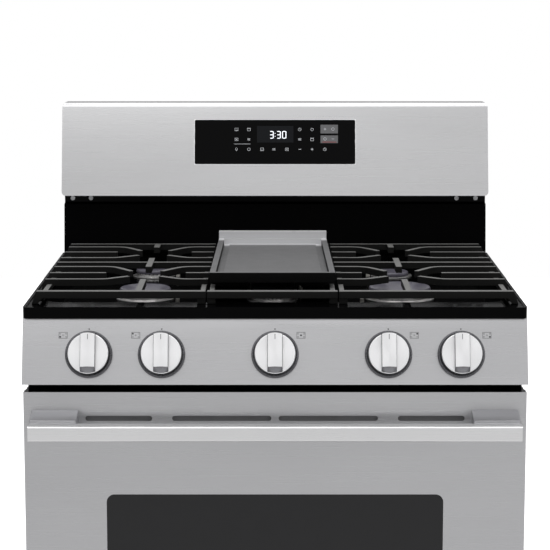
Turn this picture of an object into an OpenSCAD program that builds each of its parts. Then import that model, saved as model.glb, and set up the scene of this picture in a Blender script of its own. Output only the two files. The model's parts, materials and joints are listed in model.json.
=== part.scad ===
// Freestanding gas range, 30 inch class: five burners, griddle, convection oven and storage drawer.
// Millimetres. X runs to the right, the front faces -Y, Z is up, and the floor is z = 0.
// The origin is the middle of the footprint, backguard rear to handle front.

/* [Overall size] */
// Width over the cooktop
width = 758; // [754:1:762]
// Depth from the rear of the backguard to the front of the handle
depth = 735; // [733:1:739]
// Height to the top of the backguard
height = 1193; // [1190:1:1198]

/* [Cooktop] */
// Height of the cooktop rim
rim_z = 927; // [926:1:928]
// Distance of the cooktop's front edge from the rear
cooktop_front = 659; // [657:1:660]
// Height of the grate tops
grate_z = 945; // [943:1:947]
// Sideways distance of the outer burners from the middle of the burner group
burner_x = 204.5; // [203:0.5:208]
// Sideways offset of the burner group, the middle grate and the griddle
top_shift = -4; // [-5:0.5:0]

/* [Control panel] */
// Sideways distance between the middle of the range and the outermost knobs
knob_outer_x = 279; // [275:1:285]
// Sideways distance between the middle of the range and the inner pair of knobs
knob_inner_x = 170; // [165:1:175]
// Diameter of a knob's face
knob_d = 62; // [58:1:63]
// How far a knob can be pushed in
knob_push = 3; // [2:0.5:3]

/* [Oven door and drawer] */
// Distance of the door's front face from the rear
door_front = 672; // [671:1:673]
// Height of the door's lower edge
door_low = 225; // [225:1:228]
// Height of the door's upper edge
door_high = 800; // [796:1:800]
// Width of the clear window
window_w = 510; // [450:10:540]
// Height of the clear window
window_h = 300; // [260:10:320]
// Length of the handle
handle_w = 731; // [700:1:740]

/* [Backguard] */
// Height of the stainless panel's lower edge
panel_low = 1030.5; // [1028:0.5:1032]
// Width of the control glass
glass_w = 285; // [260:1:300]
// Height of the control glass
glass_h = 79; // [70:1:84]

/* [Hidden] */

$fn = 48;
// Sheet metal thickness, and the clearance kept between pieces that move apart
sheet = 1.5;
gap = 0.3;
// Radial clearance of a shaft in its bore
running = 0.05;
half_w = width / 2;

// Y position of something a given distance in front of the rear
function from_rear(d) = depth / 2 - d;

// ---- shapes used by several pieces ----

// A box between its lowest and its highest corner
module block(low, high) {
    translate(low) cube(high - low);
}

// A flat rectangle with round corners, centred
module rounded_rect(w, h, r) {
    square([w - 2 * r, h], center = true);
    square([w, h - 2 * r], center = true);
    for (sx = [-1, 1], sy = [-1, 1])
        translate([sx * (w / 2 - r), sy * (h / 2 - r)]) circle(r);
}

// A flat slot with round ends, centred, lying along its first axis
module slot_shape(length, w) {
    square([length - w, w], center = true);
    for (s = [-1, 1])
        translate([s * (length - w) / 2, 0]) circle(w / 2);
}

// Extrudes a (Y, Z) outline along X, centred on the middle of the range
module along_x(length) {
    rotate([90, 0, 90]) linear_extrude(length, center = true) children();
}

// Extrudes an (X, Z) outline from y0 back to y1
module along_y(y0, y1) {
    translate([0, y1, 0]) rotate([90, 0, 0]) linear_extrude(y1 - y0) children();
}

// Places its children on one side of the range: 1 is right, -1 is left
module on_side(side) {
    mirror([side < 0 ? 1 : 0, 0, 0]) children();
}

// A straight rod with flat ends between two points
module rod(start, end, r) {
    v = end - start;
    translate(start)
        rotate([0, acos(v.z / norm(v)), atan2(v.y, v.x)])
            cylinder(h = norm(v), r = r);
}

// ---- casing and base ----

side_x = 376.5 / 379 * half_w;
side_y = [-257.5, from_rear(5)];
side_z = [30, 915];
inner_x = side_x - sheet;
rear_y = [from_rear(29.5), from_rear(28)];

module side_panel(side) {
    color([0.27, 0.28, 0.29]) on_side(side) {
        block([inner_x, side_y[0], side_z[0]], [side_x, side_y[1], fascia_low - gap]);
        // behind the cooktop the panel reaches up to the riser
        block([inner_x, deck_y[1] + gap, side_z[0]], [side_x, side_y[1], side_z[1]]);
        block([inner_x - 12, side_y[1] - sheet, side_z[0]], [inner_x, side_y[1], side_z[1] - 12]);
    }
}

inlet_x = 318;
inlet_z = 140;
rear_panel_z = [62, 1029];
rear_screw_z = [120, 480, 860];
screw_r = 2;

module rear_panel() {
    w = 2 * (inner_x - 2);
    color([0.62, 0.63, 0.64]) difference() {
        block([-w / 2, rear_y[0], rear_panel_z[0]], [w / 2, rear_y[1], rear_panel_z[1]]);
        // gas inlet, power gland and screws
        translate([inlet_x, 0, inlet_z]) rotate([-90, 0, 0]) cylinder(h = depth, r = 20);
        translate([gland_x, 0, gland_z]) rotate([-90, 0, 0]) cylinder(h = depth, r = gland_r + 0.3);
        for (s = [-1, 1], z = rear_screw_z)
            translate([s * 345, 0, z]) rotate([-90, 0, 0]) cylinder(h = depth, r = screw_r + 0.1);
        // cooling louvres
        for (i = [-4 : 4], z = [640, 665, 690])
            along_y(rear_y[0] - 1, rear_y[1] + 1) translate([i * 60, z]) slot_shape(44, 6);
    }
}

base_z = 30;
base_h = 30;
base_y = [-256, 334];
base_x = inner_x - 1;
leg_x = 338;
leg_y = [-225, 300];
stud_r = 5;
rail_z = 120;
rail_y = [-252, 300];

module base_frame() {
    color([0.12, 0.12, 0.13]) {
        difference() {
            block([-base_x, base_y[0], base_z], [base_x, base_y[1], base_z + base_h]);
            block([-base_x + sheet, base_y[0] + sheet, base_z + sheet],
                  [base_x - sheet, base_y[1] - sheet, base_z + base_h + 1]);
            for (s = [-1, 1], y = leg_y)
                translate([s * leg_x, y, 0]) cylinder(h = 60, r = stud_r + running);
        }
        // nuts that the levelling legs screw into
        for (s = [-1, 1], y = leg_y)
            translate([s * leg_x, y, base_z + sheet]) difference() {
                cylinder(h = 14, r = 12);
                translate([0, 0, -1]) cylinder(h = 16, r = stud_r + running);
            }
        // drawer rails
        for (s = [-1, 1]) on_side(s) {
            block([base_x - sheet, rail_y[0], base_z + base_h], [base_x, rail_y[1], rail_z]);
            block([base_x - 22, rail_y[0], rail_z - sheet], [base_x - sheet, rail_y[1], rail_z]);
        }
    }
}

module leg(x, y) {
    color([0.10, 0.10, 0.11]) translate([x, y, 0]) {
        rotate_extrude() polygon([
            [0, 0], [17, 0], [18, 1], [18, 5], [10, 9], [10, 16], [stud_r, 16], [stud_r, 54], [0, 54]]);
    }
}

// ---- oven ----

cavity_x = 305;
cavity_z = [262, 745];
cavity_y = [-254, 232];
frame_y = [-257.5, -256];
frame_z = [218, 802];
opening_z = [292, 745];
fan_z = 500;
lamp_at = [-230, 690];
sensor_at = [120, 715];
arm_x = 300;
shelf_z = [400, 520, 640];

module front_frame() {
    color([0.07, 0.07, 0.08]) difference() {
        block([-inner_x + 0.5, frame_y[0], frame_z[0]], [inner_x - 0.5, frame_y[1], frame_z[1]]);
        block([-cavity_x, frame_y[0] - 1, opening_z[0]], [cavity_x, frame_y[1] + 1, opening_z[1]]);
        // slots for the door hinges
        for (s = [-1, 1])
            block([s * arm_x - 5, frame_y[0] - 1, hinge_z - 9], [s * arm_x + 5, frame_y[1] + 1, hinge_z + 9]);
    }
}

module oven_liner() {
    t = sheet;
    color([0.10, 0.11, 0.16]) {
        difference() {
            block([-cavity_x - t, cavity_y[0] - 2 + gap, cavity_z[0] - t],
                  [cavity_x + t, cavity_y[1] + t, cavity_z[1] + t]);
            block([-cavity_x, cavity_y[0] - 5, cavity_z[0]], [cavity_x, cavity_y[1], cavity_z[1]]);
            // fan shaft, lamp and sensor
            translate([0, cavity_y[1] - 1, fan_z]) rotate([-90, 0, 0]) cylinder(h = 5, r = 6);
            translate([lamp_at[0], cavity_y[1] - 1, lamp_at[1]]) rotate([-90, 0, 0]) cylinder(h = 5, r = 16);
            translate([sensor_at[0], cavity_y[1] - 1, sensor_at[1]]) rotate([-90, 0, 0])
                cylinder(h = 5, r = 3.2);
            // combustion air
            for (i = [-2 : 2])
                translate([i * 90, -60, cavity_z[0] - 3]) linear_extrude(5) slot_shape(50, 8);
        }
        // ledges for the racks and for the floor plate
        for (s = [-1, 1]) on_side(s) {
            for (z = shelf_z)
                block([cavity_x - 8, -235, z - 6], [cavity_x, 215, z]);
            block([cavity_x - 8, -250, 291], [cavity_x, 230, 293]);
        }
    }
}

module insulation() {
    t = 24;
    x = cavity_x + sheet + gap;
    z = [cavity_z[0] - sheet - gap, cavity_z[1] + sheet + gap];
    y = [cavity_y[0] + 1, cavity_y[1] + sheet + gap];
    color([0.85, 0.80, 0.62]) difference() {
        block([-x - t, y[0], z[0] - t], [x + t, y[1] + t, z[1] + t]);
        block([-x, y[0] - 1, z[0]], [x, y[1], z[1]]);
        translate([0, y[1] - 1, fan_z]) rotate([-90, 0, 0]) cylinder(h = t + 2, r = 46);
        translate([lamp_at[0], y[1] - 1, lamp_at[1]]) rotate([-90, 0, 0]) cylinder(h = t + 2, r = 24);
        translate([sensor_at[0], y[1] - 1, sensor_at[1]]) rotate([-90, 0, 0]) cylinder(h = t + 2, r = 16);
        block([-40, -100, z[0] - t - 1], [40, 60, z[0] + 1]);
    }
}

module oven_floor() {
    color([0.11, 0.12, 0.17]) difference() {
        block([-cavity_x + 2, -248, 293 + gap], [cavity_x - 2, 226, 295]);
        for (i = [-4 : 4], y = [-225, 205])
            translate([i * 62, y, 290]) linear_extrude(10) slot_shape(48, 8);
    }
}

module bake_burner() {
    color([0.55, 0.56, 0.57]) {
        translate([0, 200, 276]) rotate([90, 0, 0]) cylinder(h = 420, r = 10);
        block([-45, -228, 274], [45, -220, 278]);
        block([-45, 200, 262.3], [45, 203, 282]);
    }
}

module broil_burner() {
    color([0.60, 0.60, 0.60]) {
        difference() {
            block([-110, -200, 726], [110, 180, 744.7]);
            block([-108, -198, 725], [108, 178, 743]);
        }
        for (i = [-3 : 3])
            translate([i * 30, 179, 733]) rotate([90, 0, 0]) cylinder(h = 378, r = 4);
    }
}

rack_y = [-228, 192];
rack_wires = 15;

module rack(z) {
    x = cavity_x - 3;
    wire = 2.5;
    color([0.78, 0.79, 0.80]) translate([0, 0, z + gap + wire]) {
        for (i = [0 : rack_wires - 1]) {
            wx = -x + wire + i * (2 * x - 2 * wire) / (rack_wires - 1);
            rod([wx, rack_y[0], 0], [wx, rack_y[1], 0], wire);
        }
        for (y = [rack_y[0], -70, 80, rack_y[1]])
            rod([-x, y, 0], [x, y, 0], wire);
    }
}

module fan_cover() {
    y = cavity_y[1] - 34;
    color([0.12, 0.13, 0.18]) difference() {
        along_y(y, cavity_y[1] - gap) translate([0, fan_z]) rounded_rect(300, 220, 30);
        along_y(y + sheet, cavity_y[1] + 1) translate([0, fan_z]) rounded_rect(297, 217, 28.5);
        for (i = [-5 : 5])
            along_y(y - 1, y + 3) translate([i * 16, fan_z]) rotate(90) slot_shape(120 - 7 * abs(i), 7);
        for (s = [-1, 1], i = [-3 : 3])
            along_y(y - 1, y + 3) translate([s * 120, fan_z + i * 22]) slot_shape(30, 6);
    }
}

module fan_motor() {
    color([0.45, 0.46, 0.47]) translate([0, cavity_y[1] + sheet + gap, fan_z]) rotate([-90, 0, 0])
        difference() {
            union() {
                cylinder(h = 3, r = 42);
                cylinder(h = 46, r = 32);
                for (a = [0 : 90 : 270]) rotate(a) block([30, -6, 0], [45, 6, 3]);
            }
            translate([0, 0, -1]) cylinder(h = 30, r = 3 + running);
        }
}

module fan_blade() {
    color([0.70, 0.71, 0.72]) translate([0, cavity_y[1] - 8, fan_z]) rotate([90, 0, 0]) {
        cylinder(h = 1.5, r = 55);
        translate([0, 0, -34]) cylinder(h = 40, r = 3);
        cylinder(h = 10, r = 8);
        for (a = [0 : 36 : 359])
            rotate(a) translate([38, 0, 1]) rotate([0, 0, 25]) block([-14, -0.8, 0], [20, 0.8, 16]);
    }
}

module oven_lamp() {
    color([0.95, 0.93, 0.85]) translate([lamp_at[0], cavity_y[1] + sheet + gap, lamp_at[1]])
        rotate([90, 0, 0]) {
            translate([0, 0, -30]) cylinder(h = 30, r = 20);
            cylinder(h = 12, r = 14);
            translate([0, 0, 12]) cylinder(h = 3, r1 = 14, r2 = 11);
        }
}

module temp_sensor() {
    color([0.75, 0.76, 0.77]) translate([sensor_at[0], cavity_y[1] + sheet + gap, sensor_at[1]])
        rotate([90, 0, 0]) {
            cylinder(h = 80, r = 2.6);
            translate([0, 0, -10]) cylinder(h = 10, r = 12);
        }
}

module door_gasket() {
    y = [door_back_y + gap, frame_y[0] - 0.1];
    color([0.35, 0.35, 0.34]) along_y(y[0], y[1]) translate([0, (opening_z[0] + opening_z[1]) / 2])
        difference() {
            rounded_rect(2 * cavity_x + 42, opening_z[1] - opening_z[0] + 42, 24);
            rounded_rect(2 * cavity_x + 22, opening_z[1] - opening_z[0] + 22, 14);
        }
}

// ---- oven door ----

door_y = from_rear(door_front);
door_back_y = -262;
door_x = 378.5 / 379 * half_w;
hinge_y = -292;
hinge_z = door_low + 11;
window_z = 492;
vent_z = 759.7;
pin_r = 4;

// The arms are held in the oven body; the pin riveted through each one carries the door
module hinge_arms() {
    color([0.66, 0.67, 0.68]) for (s = [-1, 1]) on_side(s) {
        block([arm_x - 3, hinge_y, hinge_z - 7], [arm_x + 3, -254, hinge_z + 7]);
        translate([arm_x - 3, hinge_y, hinge_z]) rotate([0, 90, 0]) cylinder(h = 6, r = 8);
        translate([arm_x - 9, hinge_y, hinge_z]) rotate([0, 90, 0]) cylinder(h = 18, r = pin_r);
        block([arm_x - 8, -255.5, hinge_z - 14], [arm_x + 8, -225, hinge_z - 1]);
    }
}

module door_skin() {
    color([0.72, 0.72, 0.73]) difference() {
        block([-door_x, door_y, door_low], [door_x, door_y + 20, door_high]);
        block([-door_x + sheet, door_y + sheet, door_low + sheet], [door_x - sheet, door_y + 21, door_high + 1]);
        along_y(door_y - 1, door_y + 2) translate([0, window_z]) rounded_rect(window_w, window_h, 12);
        // vent slots under the control panel
        for (s = [-1, 1]) {
            along_y(door_y - 1, door_y + 2) translate([s * 80.25, vent_z]) slot_shape(149.5, 8);
            along_y(door_y - 1, door_y + 2) translate([s * 235.25, vent_z]) slot_shape(100.5, 8);
        }
        for (s = [-1, 1]) on_side(s)
            block([arm_x - 7, door_y + 2, door_low - 1], [arm_x + 7, door_back_y, door_low + 2]);
    }
}

module door_inner() {
    x = door_x - sheet - gap;
    z = [door_low + sheet + gap, door_high];
    front = door_y + sheet + gap;
    color([0.06, 0.06, 0.07]) difference() {
        union() {
            difference() {
                block([-x, front, z[0]], [x, door_back_y, z[1]]);
                block([-x + sheet, front - 1, z[0] + sheet], [x - sheet, door_back_y - sheet, z[1] - sheet]);
                along_y(-270, -250) translate([0, window_z]) rounded_rect(430, 250, 16);
                // air slits along the top edge
                for (s = [-1, 1], i = [0 : 3])
                    translate([s * (x - 14 - 27 * i), (front + door_back_y) / 2, z[1] - 3])
                        linear_extrude(5) slot_shape(18, 5);
            }
            // hinge cheeks
            for (s = [-1, 1], k = [-1, 1])
                block([s * arm_x + k * 7 - 2, front + 3, z[0]], [s * arm_x + k * 7 + 2, door_back_y, hinge_z + 14]);
        }
        for (s = [-1, 1]) {
            translate([s * arm_x - 12, hinge_y, hinge_z]) rotate([0, 90, 0])
                cylinder(h = 24, r = pin_r + running);
            block([s * arm_x - 4.9, front - 2, z[0] - 1], [s * arm_x + 4.9, door_back_y + 1, hinge_z + 10]);
        }
    }
}

module door_glass() {
    color([0.03, 0.03, 0.035, 0.9]) {
        along_y(door_y + 0.3, door_y + 4.3) translate([0, window_z])
            rounded_rect(window_w - 2 * gap, window_h - 2 * gap, 12 - gap);
        along_y(door_back_y - sheet - 4.2, door_back_y - sheet) translate([0, window_z])
            rounded_rect(460, 280, 8);
    }
}

handle_z = [738, 761];
handle_y = [-depth / 2, from_rear(710)];
mount_w = 71;

module door_handle() {
    color([0.86, 0.86, 0.86]) along_x(handle_w)
        translate([(handle_y[0] + handle_y[1]) / 2, (handle_z[0] + handle_z[1]) / 2])
            rounded_rect(handle_y[1] - handle_y[0], handle_z[1] - handle_z[0], 3);
}

module handle_mounts() {
    color([0.78, 0.78, 0.79]) for (s = [-1, 1])
        translate([s * (handle_w / 2 + 1 - mount_w / 2), 0, 0]) along_x(mount_w)
            polygon([[door_y, handle_z[0] - 2], [door_y, handle_z[1] + 12],
                     [handle_y[1], handle_z[1] + 4], [handle_y[1], handle_z[0]]]);
}

// ---- storage drawer ----

drawer_z = [62, 216];
tray_x = base_x - 28;
tray_z = [64, 190];
tray_y = [door_y + sheet, 274];

module drawer_front() {
    color([0.72, 0.72, 0.73]) difference() {
        block([-door_x, door_y, drawer_z[0]], [door_x, door_y + 42, drawer_z[1]]);
        block([-door_x + sheet, door_y + sheet, drawer_z[0] + sheet],
              [door_x - sheet, door_y + 43, drawer_z[1] - sheet]);
    }
}

module drawer_box() {
    color([0.16, 0.16, 0.17]) {
        difference() {
            block([-tray_x, tray_y[0], tray_z[0]], [tray_x, tray_y[1], tray_z[1]]);
            block([-tray_x + sheet, tray_y[0] + sheet, tray_z[0] + sheet],
                  [tray_x - sheet, tray_y[1] - sheet, tray_z[1] + 1]);
        }
        // runners over the rails
        for (s = [-1, 1]) on_side(s)
            block([tray_x, -250, rail_z + gap], [tray_x + 24, tray_y[1], rail_z + gap + sheet]);
    }
}

// ---- cooktop ----

ledge_z = rim_z - 2;
fascia_low = 910;
well_x = 350;
well_z = 905;
well_y = [from_rear(600), from_rear(100)];
deck_y = [from_rear(cooktop_front), from_rear(65.3)];

// Burners: X, distance from the rear, cap radius, height of the cap's top
burners = [
    [top_shift - burner_x, 439, 41, 923],
    [top_shift - burner_x, 202, 30.5, 918],
    [top_shift + burner_x, 439, 49.5, 925],
    [top_shift + burner_x, 202, 29.5, 914]
];
oval = [top_shift, 370, 34.5, 921];
oval_length = 238;
cap_tall = 6;

module deck_area(inset, r) {
    translate([0, (deck_y[0] + deck_y[1]) / 2])
        rounded_rect(width - 2 * inset, deck_y[1] - deck_y[0] - 2 * inset, r);
}

module well_area(inset) {
    translate([0, (well_y[0] + well_y[1]) / 2])
        rounded_rect(2 * (well_x - inset), well_y[1] - well_y[0] - 2 * inset, 25 - inset);
}

module cooktop() {
    color([0.03, 0.03, 0.035]) difference() {
        union() {
            // rim with its outer skirt
            translate([0, 0, fascia_low]) linear_extrude(rim_z - fascia_low) difference() {
                deck_area(0, 8);
                deck_area(sheet, 8 - sheet);
            }
            translate([0, 0, ledge_z - sheet]) linear_extrude(rim_z - ledge_z + sheet) difference() {
                deck_area(0, 8);
                deck_area(4, 4);
            }
            translate([0, 0, ledge_z - sheet]) linear_extrude(sheet) difference() {
                deck_area(1, 7);
                well_area(0);
            }
            // recessed well
            translate([0, 0, well_z - sheet]) linear_extrude(ledge_z - well_z + sheet) difference() {
                well_area(-sheet);
                well_area(0);
            }
            translate([0, 0, well_z - sheet]) linear_extrude(sheet) well_area(-0.5);
            // rests for a hand or a pan at the front edge
            for (x = [-205, 198])
                translate([x, from_rear(636), ledge_z]) cylinder(h = 2.2, r1 = 5, r2 = 3.2);
        }
        for (b = concat(burners, [oval]))
            translate([b[0], from_rear(b[1]), well_z - 5]) cylinder(h = 10, r = 22);
    }
}

module burner_heads() {
    color([0.75, 0.75, 0.76]) {
        for (b = burners)
            translate([b[0], from_rear(b[1]), 0]) rotate_extrude() polygon([
                [12, well_z - 20], [18, well_z - 20], [18, well_z], [b[2] + 6, well_z], [b[2] + 6, well_z + 1.5],
                [b[2] - 2, well_z + 2.5], [b[2] - 3, b[3] - cap_tall], [12, b[3] - cap_tall]]);
        translate([oval[0], from_rear(oval[1]), 0]) {
            translate([0, 0, well_z]) linear_extrude(2.5) rotate(90) slot_shape(oval_length + 12, 2 * oval[2] + 12);
            translate([0, 0, well_z]) linear_extrude(oval[3] - cap_tall - well_z) rotate(90)
                slot_shape(oval_length - 6, 2 * oval[2] - 6);
            translate([0, 0, well_z - 20]) cylinder(h = 20, r = 18);
        }
    }
}

module burner_caps() {
    color([0.33, 0.32, 0.36]) {
        for (b = burners)
            translate([b[0], from_rear(b[1]), b[3] - cap_tall]) rotate_extrude() polygon([
                [0, 0], [b[2], 0], [b[2], 3], [b[2] - 1, 5], [b[2] - 3, cap_tall], [0, cap_tall]]);
        translate([oval[0], from_rear(oval[1]), oval[3] - cap_tall]) {
            linear_extrude(4) rotate(90) slot_shape(oval_length, 2 * oval[2]);
            linear_extrude(cap_tall) rotate(90) slot_shape(oval_length - 4, 2 * oval[2] - 4);
        }
    }
}

module igniters() {
    color([0.93, 0.92, 0.88]) for (b = concat(burners, [oval])) {
        side = b[0] > 0 ? -1 : 1;
        translate([b[0] + side * (b[2] + 11), from_rear(b[1]) - 6, well_z]) {
            cylinder(h = 8, r = 3.4);
            cylinder(h = 13, r = 1.2);
        }
    }
}

// ---- grates and griddle ----

bar_tall = 11;
bar_w = 8;
block_w = 13;
pointer_w = 10;
foot_z = ledge_z + gap;
rail_d = [86.5, 613];
grate_x = [101.5, 370];
finger_x = 206;
outer_rail_x = 354;
low_rail = [foot_z + 3, grate_z - 8.5];

// Plan outline of a straight bar
module bar(start, end, w = bar_w) {
    v = end - start;
    translate(start) rotate(atan2(v.y, v.x)) translate([0, -w / 2]) square([norm(v), w]);
}

// Plan outline of a bar that runs in from x = far and bends towards the burner, the local origin
module finger(row, far) {
    bend_x = 72;
    tip = [25, row > 60 ? 29 : 25];
    turn = row > 60 ? 58 : 40;
    dx = bend_x - tip.x;
    dy = row - tip.y;
    // length of the finger's straight end, and the radius of the bend before it
    run = (dy * sin(turn) - dx * (1 - cos(turn))) / (1 - cos(turn));
    r = (dx - run * cos(turn)) / sin(turn);
    steps = 6;
    function on_bend(radius, i) = [bend_x, row - r] + radius * [-sin(turn * i / steps), cos(turn * i / steps)];
    across = bar_w / 2 * [-sin(turn), cos(turn)];
    polygon(concat(
        [[far, row - bar_w / 2], [far, row + bar_w / 2]],
        [for (i = [0 : steps]) on_bend(r + bar_w / 2, i)],
        [tip + across, tip - across],
        [for (i = [steps : -1 : 0]) on_bend(r - bar_w / 2, i)]));
}

// Sloping outer end of a bar, down to its foot on the cooktop ledge
module outer_leg(y, w = bar_w) {
    translate([0, y, 0]) along_y(-w / 2, w / 2)
        polygon([[outer_rail_x - 1, grate_z], [grate_x[1] - 7, grate_z], [grate_x[1], foot_z],
                 [grate_x[1] - 9, foot_z], [outer_rail_x - 1, grate_z - bar_tall]]);
}

// A low rail from front to back, under the bars
module side_rail(x) {
    block([x - 4, from_rear(rail_d[1]), low_rail[0]], [x + 4, from_rear(rail_d[0]), low_rail[1]]);
}

// Plan outline of the top bars of a side grate, with its fingers round x = centre
module side_grate_plan(inner, centre) {
    bar([inner, from_rear(rail_d[1])], [outer_rail_x, from_rear(rail_d[1])], block_w);
    for (d = [rail_d[0], 310])
        bar([inner, from_rear(d)], [outer_rail_x, from_rear(d)]);
    // fingers around each burner
    for (b = [[439, [360, 494]], [202, [124, 257]]], row = b[1], s = [-1, 1])
        translate([centre, from_rear(b[0])]) mirror([s < 0 ? 1 : 0, 0]) mirror([0, row > b[0] ? 1 : 0])
            finger(abs(row - b[0]), s < 0 ? centre - inner : outer_rail_x - centre);
    // short fingers straight at each burner
    for (row = [189, 428]) {
        bar([inner, from_rear(row)], [centre - 64, from_rear(row)]);
        bar([centre + 64, from_rear(row)], [outer_rail_x, from_rear(row)]);
    }
    // fingers from front to back
    for (run = [[613, 496], [362, 262], [130, 87]])
        bar([centre, from_rear(run[0])], [centre, from_rear(run[1])], pointer_w);
}

// A side grate built on the right; side is -1 for the one that is mirrored to the left
module side_grate(side) {
    inner = grate_x[0] + side * top_shift;
    translate([0, 0, grate_z - bar_tall]) linear_extrude(bar_tall)
        side_grate_plan(inner, finger_x + side * top_shift / 2);
    side_rail(inner + 6);
    side_rail(outer_rail_x + 2);
    for (d = [124, 189, 257, 310, 360, 428, 494, rail_d[0]])
        outer_leg(from_rear(d));
    outer_leg(from_rear(rail_d[1]), block_w);
    for (d = rail_d)
        block([inner, from_rear(d) - 4, foot_z], [inner + 13, from_rear(d) + 4, grate_z - bar_tall + 1]);
}

module grate_left() {
    color([0.05, 0.05, 0.05]) mirror([1, 0, 0]) side_grate(-1);
}

module grate_right() {
    color([0.05, 0.05, 0.05]) side_grate(1);
}

module grate_centre() {
    side = 99.5;
    color([0.05, 0.05, 0.05]) translate([top_shift, 0, 0]) {
        translate([0, 0, grate_z - bar_tall]) linear_extrude(bar_tall) {
            bar([-side, from_rear(rail_d[1])], [side, from_rear(rail_d[1])], block_w);
            for (d = [rail_d[0], 130, 190])
                bar([-side, from_rear(d)], [side, from_rear(d)]);
            for (s = [-1, 1], d = [250, 310, 370, 430, 490])
                bar([s * side, from_rear(d)], [s * 36, from_rear(d)]);
            bar([0, from_rear(rail_d[0])], [0, from_rear(228)], pointer_w);
        }
        for (s = [-1, 1]) {
            side_rail(s * (side - 6));
            for (d = rail_d)
                translate([s * (side - 6.5), from_rear(d), 0])
                    block([-6.5, -4, foot_z], [6.5, 4, grate_z - bar_tall + 1]);
        }
    }
}

griddle_d = [127, 537];
griddle_w = [188, 196];

// Plan outline of the griddle, a little wider at the front
module griddle_area(inset) {
    y = [from_rear(griddle_d[1]) + inset, from_rear(griddle_d[0]) - inset];
    polygon([[-griddle_w[1] / 2 + inset, y[0]], [griddle_w[1] / 2 - inset, y[0]],
             [griddle_w[0] / 2 - inset, y[1]], [-griddle_w[0] / 2 + inset, y[1]]]);
}

module griddle() {
    low = grate_z + gap;
    rim = low + 16;
    color([0.42, 0.42, 0.43]) translate([top_shift, 0, 0]) difference() {
        union() {
            translate([0, 0, low]) linear_extrude(rim - low) griddle_area(0);
            // higher wall along the rear
            translate([0, 0, low]) linear_extrude(29) intersection() {
                griddle_area(0);
                translate([-100, from_rear(griddle_d[0] + 9)]) square([200, 20]);
            }
        }
        // cooking surface, with a gutter round it
        translate([0, 0, low + 8]) linear_extrude(30) griddle_area(9.5);
        translate([0, 0, low + 6]) linear_extrude(20) difference() {
            griddle_area(9.5);
            griddle_area(19);
        }
        translate([0, 0, low - 1]) linear_extrude(4) griddle_area(7);
    }
}

// ---- control panel, knobs and gas train ----

face_z = [814, 909.7];
face_d = [685, 655];
tilt = atan((face_d[0] - face_d[1]) / (face_z[1] - face_z[0]));
knob_z = 857.5;
knob_x = [-knob_outer_x, -knob_inner_x, 0, knob_inner_x, knob_outer_x];
knob_r = knob_d / 2;
stem_r = 4;

// Y of the control panel's face at a height
function face_y(z) = from_rear(face_d[0] - (z - face_z[0]) * tan(tilt));

// Local frame on the control panel: Z is its outward normal, Y runs up the face
module on_controls(x = 0) {
    translate([x, face_y(knob_z), knob_z]) rotate([90 - tilt, 0, 0]) children();
}

module control_panel() {
    t = sheet / cos(tilt);
    color([0.70, 0.70, 0.71]) difference() {
        along_x(width) polygon([[face_y(face_z[1]), face_z[1]], [face_y(face_z[0]), face_z[0]],
                                [-262, face_z[0]], [-262, face_z[1]]]);
        along_x(width - 2 * sheet)
            polygon([[face_y(face_z[1] - sheet) + t, face_z[1] - sheet],
                     [face_y(face_z[0] + sheet) + t, face_z[0] + sheet],
                     [-200, face_z[0] + sheet], [-200, face_z[1] - sheet]]);
        for (x = knob_x)
            on_controls(x) translate([0, 0, -5]) cylinder(h = 10, r = 6);
    }
}

module knob_bezels() {
    color([0.35, 0.35, 0.36]) for (x = knob_x)
        on_controls(x) rotate_extrude() polygon([
            [6, 0], [35.5, 0], [35.5, 4], [34.6, 5.5], [32.4, 5.5], [32.4, 1.5], [6, 1.5]]);
}

module valve_stem(i) {
    color([0.76, 0.65, 0.40]) on_controls(knob_x[i]) {
        translate([0, 0, -45.9]) cylinder(h = 17.8, r = 8);
        translate([0, 0, -29]) cylinder(h = 46, r = stem_r);
    }
}

module knob(i) {
    color([0.85, 0.85, 0.85]) on_controls(knob_x[i]) difference() {
        union() {
            rotate_extrude() polygon([
                [0, 5], [knob_r - 0.2, 5], [knob_r + 0.4, 6], [knob_r, 15], [knob_r - 1.5, 17], [0, 17]]);
            // grip bar
            intersection() {
                translate([0, 0, 10]) cylinder(h = 16, r = knob_r - 0.5);
                along_y(-knob_r, knob_r) polygon([[-12.6, 10], [12.6, 10], [11.2, 26], [-11.2, 26]]);
            }
        }
        along_x(40) polygon([[-knob_r - 1, 16], [-knob_r - 1, 27], [-knob_r + 7, 27]]);
        translate([0, 0, 4]) cylinder(h = 16.3, r = stem_r + running);
    }
}

module gas_valves() {
    color([0.72, 0.60, 0.36]) for (x = knob_x)
        on_controls(x) difference() {
            union() {
                translate([0, 0, -49.8]) cylinder(h = 35, r = 13);
                translate([0, 4, -36]) rotate([-90, 0, 0]) cylinder(h = 20, r = 6);
            }
            translate([0, 0, -46]) cylinder(h = 18, r = 8 + running);
            translate([0, 0, -29]) cylinder(h = 20, r = stem_r + running);
            translate([0, 10, -36]) rotate([-90, 0, 0]) cylinder(h = 20, r = 3);
        }
}

pipe_r = 9.5;
supply_x = 353;
supply_y = 300;
manifold_y = face_y(knob_z) + 59.5 * cos(tilt);
manifold_z = knob_z - 59.5 * sin(tilt);

module gas_manifold() {
    route = [[-knob_outer_x - 25, manifold_y, manifold_z], [supply_x, manifold_y, manifold_z],
             [supply_x, supply_y, manifold_z], [supply_x, supply_y, inlet_z], [inlet_x + 26.3, supply_y, inlet_z]];
    color([0.70, 0.70, 0.68]) {
        for (i = [1 : len(route) - 1])
            rod(route[i - 1], route[i], pipe_r);
        for (i = [1 : len(route) - 2])
            translate(route[i]) sphere(pipe_r);
    }
}

nipple_r = 10.67;

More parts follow.
